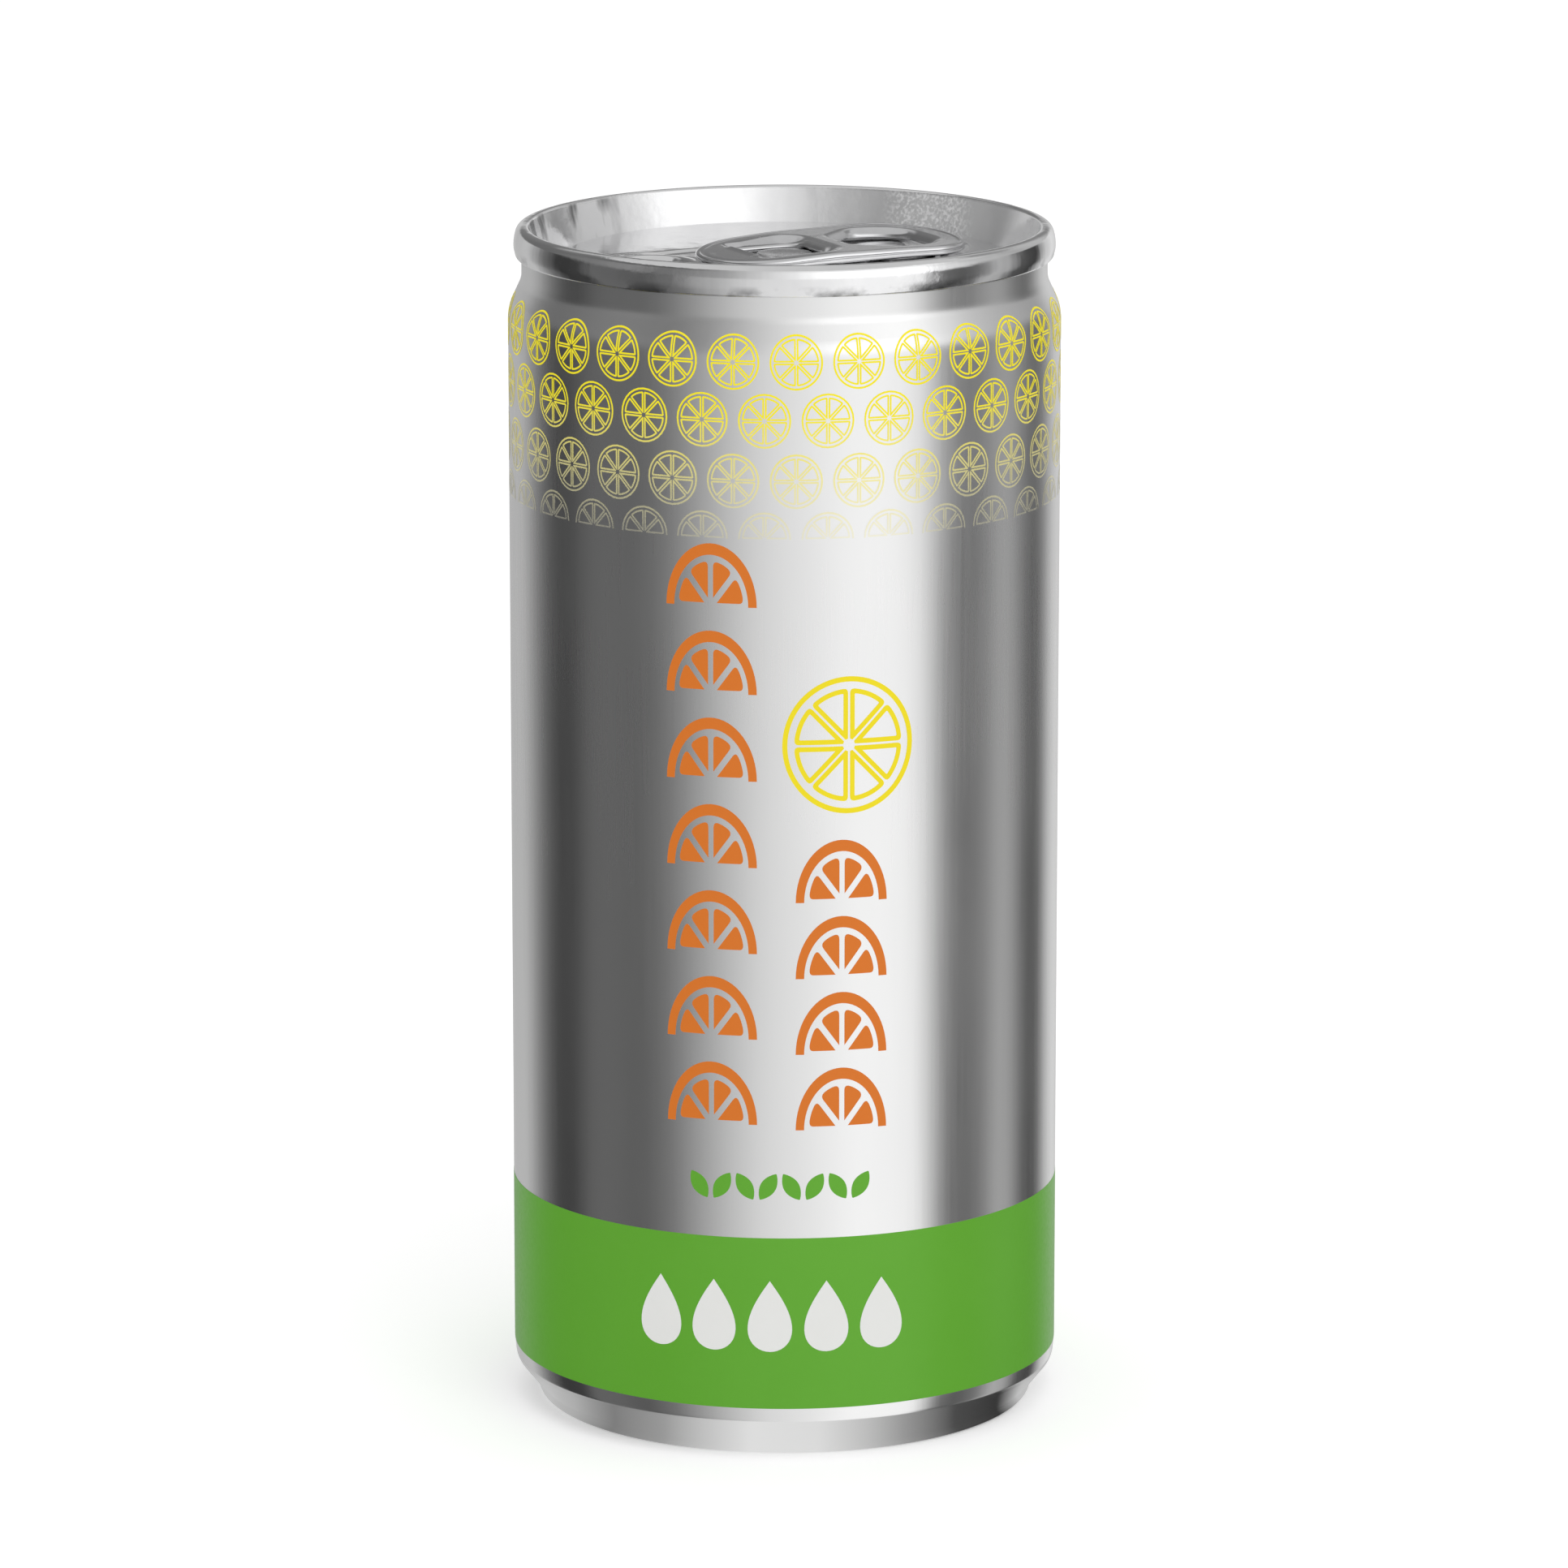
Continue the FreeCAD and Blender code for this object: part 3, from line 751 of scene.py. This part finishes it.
# The outside only: past the three hidden corners at the top and short of the base.
body_side = [p for p in body_outline[3:60] if p.x > hidden_top_radius][::-1]
wall_heights, wall_radii = [p.y for p in body_side], [p.x for p in body_side]


def radius_at(z):
    """Radius of the body's outside at a height, from the chime to the neck."""
    return float(np.interp(z, wall_heights, wall_radii))


def varnished_ink(name, colour, light):
    """Opaque ink under varnish: a faint unevenness of the rolled film."""
    material, tree, shader = node_material(name, colour, 0.0, 0.35)
    film = noise(tree, 160, 4)
    grain = noise(tree, 2500, 2)
    tree.links.new(blended(tree, film, colour, light), shader.inputs["Base Color"])
    tree.links.new(ranged(tree, grain, 0.3, 0.7, 0.30, 0.38), shader.inputs["Roughness"])
    shader.inputs["Specular IOR Level"].default_value = 0.32
    bumped(tree, shader, grain, 0.05, 0.01 * mm)
    return material


band_outline = [(radius_at(band_low) - ink_thickness, band_low)]
band_outline += [(radius_at(z) + ink_thickness, z) for z in np.linspace(band_low, band_foot_top, 12)]
band_outline += [(wall_radius + ink_thickness, band_high), (wall_radius - ink_thickness, band_high)]
band_outline.append(band_outline[0])
green = varnished_ink("green_ink", (0.112, 0.39, 0.022), (0.122, 0.405, 0.028))
make_piece("green_band", *turned(band_outline, around), green, "green_ink")

# The orange fields.
# Two upright columns of plain half slices in solid orange ink, printed on the bare wall, with the
# pith and the cuts between the segments left bare.


def divided(path, step):
    """The closed path with its long edges divided, so that it can follow the round wall."""
    result = []
    for first, second in zip(path, path[1:] + path[:1]):
        count = math.ceil(math.dist(first, second) / step)
        for part in range(count):
            share = part / count
            result.append(tuple(a + (b - a) * share for a, b in zip(first, second)))
    return result


class Ink:
    """Flat shapes of ink, drawn as (arc, height) on the wall with the film's thickness."""

    def __init__(self, under=-ink_thickness, over=ink_thickness):
        self.verts = []
        self.faces = []
        self.under = under
        self.over = over

    def put(self, points, lift):
        """Adds points on the wall and returns the number of the first."""
        start = len(self.verts)
        for arc, z in points:
            radius = radius_at(z) + lift
            angle = arc / wall_radius
            self.verts.append((radius * math.sin(angle), -radius * math.cos(angle), z))
        return start

    def field(self, outline, spacing=0.9 * mm):
        """A solid field inside a closed outline."""
        edge = np.array(divided(outline, spacing))
        grid = even_grid(edge, spacing)
        grid = grid[depth_inside(grid, edge) > 0.3 * spacing]
        points = np.vstack([edge, grid])
        rim = [(k, (k + 1) % len(edge)) for k in range(len(edge))]
        top = self.put(points, self.over)
        bottom = self.put(points, self.under)
        for numbers in triangles_over(points, rim, lambda middles: inside(middles, edge)):
            self.faces.append(tuple(top + n for n in numbers))
            self.faces.append(tuple(bottom + n for n in reversed(numbers)))
        for first, second in rim:
            self.faces.append((top + first, bottom + first, bottom + second, top + second))

    def line(self, outer, inner):
        """A closed line of ink between an outer and an inner path of the same count."""
        rings = [self.put(outer, self.over), self.put(inner, self.over)]
        rings += [self.put(inner, self.under), self.put(outer, self.under)]
        for first, second in zip(rings, rings[1:] + rings[:1]):
            for step in range(len(outer)):
                after = (step + 1) % len(outer)
                self.faces.append((first + step, first + after, second + after, second + step))


def circle(radius, steps, stretch):
    """A ring of points, drawn out in height by the stretch."""
    angles = [2 * math.pi * step / steps for step in range(steps)]
    return [(radius * math.cos(angle), radius * math.sin(angle) * stretch) for angle in angles]


def segment(middle, half, radius, back, tip, corner, parts, stretch):
    """Outline of a slice's segment about the slice's centre.

    Its straight sides lie set back from the rays at middle -/+ half, from the tip's reach
    out to rounded corners on the rim.
    """
    cosine, sine = math.cos(half), math.sin(half)

    def on_side(reach):
        return Vector((reach * cosine + back * sine, back * cosine - reach * sine))

    reach = math.sqrt(radius ** 2 - back ** 2)
    foot = min(max(tip, back / math.tan(half)), reach)
    corner_point = on_side(reach)
    corner_angle = math.atan2(corner_point.y, corner_point.x)
    rim_angle = min(corner_angle + corner / radius, 0)
    side = [on_side(foot + (reach - corner - foot) * part / parts) for part in range(parts + 1)]
    start = side[-1]
    end = Vector((radius * math.cos(rim_angle), radius * math.sin(rim_angle)))
    for t in (0.25, 0.5, 0.75):
        side.append(start * (1 - t) ** 2 + corner_point * 2 * t * (1 - t) + end * t ** 2)
    for part in range(parts + 1):
        angle = rim_angle * (1 - part / parts)
        side.append(Vector((radius * math.cos(angle), radius * math.sin(angle))))
    whole = side + [Vector((p.x, -p.y)) for p in reversed(side[:-1])]
    turn_x, turn_y = math.cos(middle), math.sin(middle)
    return [(p.x * turn_x - p.y * turn_y, (p.x * turn_y + p.y * turn_x) * stretch) for p in whole]


def moved(path, arc, z):
    """A path carried to a place on the wall."""
    return [(x + arc, y + z) for x, y in path]


half_slice_width = 8.8 * mm
half_slice_height = 6.0 * mm
rind = 0.8 * mm
pith = 0.45 * mm
cut_width = 0.25 * mm
left_arc, left_column = -7.0 * mm, np.linspace(36.2, 86.1, 7)
right_arc, right_column = 5.45 * mm, np.linspace(35.7, 57.8, 4)
orange_ink = Ink()


def half_slice(ink, arc, z, width, height):
    """A half slice with its cut face down: a bow of rind over four solid segments."""
    radius = width / 2
    squash = height / radius
    inner = radius - rind
    bow = []
    for reach, angles in ((radius, np.linspace(0, math.pi, 33)), (inner, np.linspace(math.pi, 0, 33))):
        bow += [(reach * math.cos(angle), reach * math.sin(angle) * squash) for angle in angles]
    ink.field(moved(bow, arc, z - height / 2))
    pulp = inner - pith
    eighth = math.pi / 8
    for number in range(4):
        cut = segment((2 * number + 1) * eighth, eighth, pulp, cut_width, 0.5 * mm, 0.4 * mm, 4, squash)
        ink.field(moved(cut, arc, z - height / 2))


for arc, column in ((left_arc, left_column), (right_arc, right_column)):
    for z in column:
        half_slice(orange_ink, arc, z * mm, half_slice_width, half_slice_height)
orange = varnished_ink("orange_ink", (0.69, 0.172, 0.012), (0.71, 0.18, 0.015))
make_piece("orange_half_slices", orange_ink.verts, orange_ink.faces, orange, "orange_ink")

# The large slice.
# One round slice printed in yellow line on the bare wall: a ring for the rind and eight segments
# drawn in outline.
large_arc, large_z = 6.1 * mm, 69.9 * mm
large_radius, large_line = 6.32 * mm, 0.48 * mm
large_pulp, large_gap = 5.2 * mm, 0.2 * mm
all_segments = 8


def round_slice(ink, arc, z, radius, line, pulp, gap, parts, segments=all_segments, stretch=1.04):
    """A ring and outlines of the segments about a point on the wall; fewer leave the ring an arch."""
    steps = 14 * parts
    rings = [moved(circle(reach, steps, stretch), arc, z) for reach in (radius, radius - line)]
    if segments == all_segments:
        ink.line(*rings)
    else:
        end = steps * segments // all_segments + 1
        ink.field(rings[0][:end] + rings[1][:end][::-1])
    half = math.pi / all_segments
    thin = 0.92 * line
    for number in range(segments):
        middle = (2 * number + 1) * half
        outer = segment(middle, half, pulp, gap / 2, 1.2 * line, 0.9 * line, parts, stretch)
        inner = segment(middle, half, pulp - thin, gap / 2 + thin, 0, 0.25 * line, parts, stretch)
        ink.line(moved(outer, arc, z), moved(inner, arc, z))


yellow_ink = Ink()
round_slice(yellow_ink, large_arc, large_z, large_radius, large_line, large_pulp, large_gap, 5)
yellow = varnished_ink("yellow_ink", (0.88, 0.72, 0.006), (0.90, 0.75, 0.008))
make_piece("large_slice", yellow_ink.verts, yellow_ink.faces, yellow, "yellow_ink")

# The fading rows.
# Four rows of small slices printed round the top of the wall, each offset by half a step, in a
# yellow that thins away downwards into the bare metal; the lowest row has only its upper halves.
slices_round = 28
row_heights = [106.3, 100.8, 95.1, 89.6]
first_arc = 1.1 * mm
small_radius, small_line = 2.49 * mm, 0.17 * mm
small_pulp, small_gap = 2.12 * mm, 0.09 * mm
fade_low = 87.0 * mm
fade_high = 101.5 * mm


def fading_ink():
    """Yellow ink that thins to nothing downwards, so that the satin wall shows through."""
    material, tree, shader = node_material("fading_ink", (0.86, 0.7, 0.02), 0.0, 0.34)
    share = ranged(tree, height_above_base(tree), fade_low, fade_high, 0.0, 1.0)
    grain = noise(tree, 2500, 2)
    share = summed(tree, share, ranged(tree, grain, 0.3, 0.7, -0.03, 0.03))
    tree.links.new(blended(tree, share, (0.86, 0.86, 0.86), (0.95, 0.82, 0.008)), shader.inputs["Base Color"])
    bare = summed(tree, 1.0, share, "SUBTRACT")
    tree.links.new(bare, shader.inputs["Metallic"])
    film = ranged(tree, height_above_base(tree), fade_low, fade_high, 0.285, 0.34)
    tree.links.new(summed(tree, film, ranged(tree, grain, 0.3, 0.7, -0.02, 0.02)), shader.inputs["Roughness"])
    shader.inputs["Specular IOR Level"].default_value = 0.32
    return material


fade = fading_ink()
pitch = 2 * math.pi * wall_radius / slices_round
for row, z in enumerate(row_heights):
    top_row, lowest_row = row == 0, row == len(row_heights) - 1
    row_ink = Ink(0.5 * ink_thickness, (1.0 if top_row else 0.4) * ink_thickness)
    sizes = (small_radius, small_line, small_pulp, small_gap, 4 if top_row else 2)
    segments = all_segments // 2 if lowest_row else all_segments
    for number in range(slices_round):
        arc = first_arc + (number + 0.5 * (row % 2)) * pitch
        round_slice(row_ink, arc, z * mm, *sizes, segments)
    make_piece(f"slice_row_{row + 1}", row_ink.verts, row_ink.faces, fade, "yellow_ink")

# The small green leaves.
# A line of leaves in the band's green ink, printed on the bare wall just above the band and
# varnished with it.
leaf_length = 3.0 * mm
leaf_width = 1.5 * mm
leaf_z = 27.15 * mm
leaf_row = np.linspace(-8.2, 7.3, 8)
leaf_lean = (122, 58)
leaf_ink = Ink()


def leaf(length, width, tilt):
    """A pointed leaf about its own middle."""
    side = [(x * length, width / 2 * math.cos(math.pi * x) ** 0.8) for x in np.linspace(-0.49, 0.49, 12)]
    loop = [(x, -y) for x, y in side] + [(x, y) for x, y in reversed(side)]
    cosine, sine = math.cos(tilt), math.sin(tilt)
    return [(x * cosine - y * sine, x * sine + y * cosine) for x, y in loop]


for number, arc in enumerate(leaf_row):
    tilt = math.radians(leaf_lean[number % 2])
    leaf_ink.field(moved(leaf(leaf_length, leaf_width, tilt), arc * mm, leaf_z), 0.4 * mm)
make_piece("green_leaves", leaf_ink.verts, leaf_ink.faces, green, "green_ink")

# The white drops.
# A row of juice drops in near-white ink, printed over the green band as a second film and
# varnished with it.
drop_row = np.linspace(-12.2, 9.4, 5)
drop_height = 7.0 * mm
drop_width = 4.5 * mm
drop_z = 14.4 * mm
white_ink = Ink(0.5 * ink_thickness, 1.8 * ink_thickness)


def drop(height, width):
    """A drop with a round foot and a pointed top, about its own middle."""
    fullness, point = 1.25, 1.1
    loop = []
    for t in np.linspace(0, 2 * math.pi, 48, endpoint=False):
        x = width / 2 * math.cos(t - math.pi / 2) * math.sin(t / 2) ** point * fullness
        loop.append((x, -height / 2 * math.cos(t + math.pi)))
    return loop


for arc in drop_row:
    white_ink.field(moved(drop(drop_height, drop_width), arc * mm, drop_z), 0.7 * mm)
white = varnished_ink("white_ink", (0.80, 0.80, 0.78), (0.83, 0.83, 0.82))
make_piece("white_drops", white_ink.verts, white_ink.faces, white, "white_ink")

# The studio.
# A white floor and background, and for the metal alone grey flags all round, painted in the
# surround in three rings by compass angle, with a mirrored patch of floor under the can that glows there with
# painted light and painted shadow.
light_level = 0.88
overhead_level = 0.62
# Rise of a direction over which each ring takes over from the one below it.
eye_edge, high_edge, overhead_edge = (0.13, 0.19), (0.50, 0.60), (0.73, 0.77)
# Compass angle in degrees, 0 towards the camera and + to the right, and brightness.
low_flags = [
    (-180, 0.62), (-160, 0.5), (-140, 0.55), (-124, 0.18), (-112, 0.04), (-98, 0.05), (-90, 0.14),
    (-76, 0.13), (-62, 0.1), (-48, 0.18), (-36, 0.36), (-22, 0.58), (-8, 0.78), (10, 0.88), (30, 1.05),
    (58, 1.02), (70, 0.16), (80, 0.1), (92, 0.18), (102, 0.46), (110, 0.4), (120, 0.09), (134, 0.05),
    (146, 0.62), (158, 0.78), (172, 0.6),
]
eye_flags = [
    (-180, 0.22), (-150, 0.16), (-118, 0.15), (-86, 0.22), (-70, 0.26), (-54, 0.17), (-38, 0.25), (-22, 0.42),
    (-6, 0.75), (10, 1.05), (24, 1.4), (60, 1.4), (74, 0.85), (90, 0.56), (104, 0.5), (122, 0.42), (140, 0.5),
    (156, 0.5), (168, 0.25), (180, 0.22),
]
high_flags = [
    (-180, 0.62), (-160, 0.55), (-135, 0.18), (-100, 0.15), (-60, 0.12), (-40, 0.2), (-15, 0.6), (10, 0.9),
    (76, 1.05), (92, 0.6), (110, 0.62), (130, 0.3), (148, 0.3), (162, 0.55), (180, 0.62),
]
# The near floor as the metal sees it: a painted glow by compass angle, brightest in front, with painted
# shadow of the can darkest at 45 to 62 degrees to the right.
painted_floor_glow_flags = [
    (-180, 0.4), (-75, 0.55), (-60, 0.46), (-45, 0.23), (-30, 0.36), (-20, 0.6), (-8, 0.84), (8, 0.8),
    (20, 0.58), (30, 0.34), (45, 0.07), (62, 0.03), (75, 0.55), (180, 0.4),
]


def compass(tree, coordinates):
    """Compass angle of a direction, with the full circle as 0 to 1, and the direction's Z."""
    place = tree.nodes.new("ShaderNodeTexCoord")
    axes = tree.nodes.new("ShaderNodeSeparateXYZ")
    tree.links.new(place.outputs[coordinates], axes.inputs["Vector"])
    frontwards = times(tree, axes.outputs["Y"], -1.0)
    turn = summed(tree, axes.outputs["X"], frontwards, "ARCTAN2")
    return ranged(tree, turn, -math.pi, math.pi, 0.0, 1.0), axes.outputs["Z"]


def grey(level):
    """A neutral colour."""
    return (level, level, level)


def ring_of_flags(tree, turn, stops):
    """Brightness by compass angle; the colours go in once all the stops are in their places."""
    ramp = tree.nodes.new("ShaderNodeValToRGB")
    elements = ramp.color_ramp.elements
    while len(elements) < len(stops):
        elements.new(0.5)
    for element, (degrees, _) in zip(elements, stops):
        element.position = (degrees + 180) / 360
    for element, (_, level) in zip(elements, stops):
        element.color = (*grey(level), 1)
    tree.links.new(turn, ramp.inputs["Fac"])
    return ramp.outputs["Color"]


world = bpy.data.worlds.new("studio")
bpy.context.scene.world = world
world.use_nodes = True
world.cycles.sampling_method = "NONE"
sky = world.node_tree
turn, rise = compass(sky, "Generated")
surround = ring_of_flags(sky, turn, low_flags)
for edge, flags in ((eye_edge, eye_flags), (high_edge, high_flags)):
    surround = blended(sky, ranged(sky, rise, *edge, 0.0, 1.0), surround, ring_of_flags(sky, turn, flags))
surround = blended(sky, ranged(sky, rise, *overhead_edge, 0.0, 1.0), surround, grey(overhead_level))
paths = sky.nodes.new("ShaderNodeLightPath")
mirrored = summed(sky, paths.outputs["Is Glossy Ray"], paths.outputs["Is Transmission Ray"], "MAXIMUM")
seen = blended(sky, mirrored, grey(light_level), surround)
white_back = blended(sky, paths.outputs["Is Camera Ray"], seen, grey(1.0))
sky.links.new(white_back, sky.nodes["Background"].inputs["Color"])

paper_level = 0.9
paper_lift = 0.26


def paper_material():
    """Matt white paper, lifted to white for the camera; in the metal it is black and glows with painted light
    and shadow by compass angle.
    """
    material, tree, shader = node_material("paper", grey(paper_level), 0.0, 0.9)
    paths = tree.nodes.new("ShaderNodeLightPath")
    in_metal = paths.outputs["Is Glossy Ray"]
    painted_floor_glow = ring_of_flags(tree, compass(tree, "Object")[0], painted_floor_glow_flags)
    # Painted light: in the metal's reflections the near floor is black and glows with the painted brightness
    # by compass angle.
    tree.links.new(blended(tree, in_metal, grey(paper_level), grey(0.0)), shader.inputs["Base Color"])
    tree.links.new(blended(tree, in_metal, grey(paper_lift), painted_floor_glow), shader.inputs["Emission Color"])
    glow = summed(tree, paths.outputs["Is Camera Ray"], in_metal, "MAXIMUM")
    tree.links.new(glow, shader.inputs["Emission Strength"])
    return material


paper = paper_material()


def paper_ring(name, inner, outer, mirrored_in_metal):
    """A flat ring of the paper the can stands on; only the near one is mirrored in the metal."""
    verts, faces = turned([(inner, 0.0), (outer, 0.0)], 96)
    mesh = bpy.data.meshes.new(name)
    mesh.from_pydata(verts, [], faces)
    mesh.materials.append(paper)
    ring = bpy.data.objects.new(name, mesh)
    ring.visible_glossy = mirrored_in_metal
    bpy.context.scene.collection.objects.link(ring)


near_paper_radius = 30 * mm
paper_ring("near_floor", 0.0, near_paper_radius, True)
far_paper_radius = 3.0
paper_ring("far_floor", near_paper_radius, far_paper_radius, False)

lamp_data = bpy.data.lights.new("soft_lamp", "AREA")
lamp_data.shape = "DISK"
lamp_data.size = 0.7
lamp_data.energy = 2.0
lamp = bpy.data.objects.new("soft_lamp", lamp_data)
lamp.location = (0.25, -0.6, 0.9)
lamp.rotation_euler = (Vector((0, 0, 0.05)) - lamp.location).to_track_quat("-Z", "Y").to_euler()
lamp.visible_glossy = False
bpy.context.scene.collection.objects.link(lamp)

# The camera.
# A long lens a little above the can, looking down on the lid.
camera_data = bpy.data.cameras.new("camera")
camera_data.sensor_width = 36
camera_data.lens = 198.03
camera_data.shift_x = -0.00034
camera = bpy.data.objects.new("camera", camera_data)
camera.location = (0, -0.8157, 0.24297)
camera.rotation_euler = (math.radians(90 - 12.618), 0, 0)
bpy.context.scene.collection.objects.link(camera)
bpy.context.scene.camera = camera
bpy.context.scene.view_settings.view_transform = "Standard"
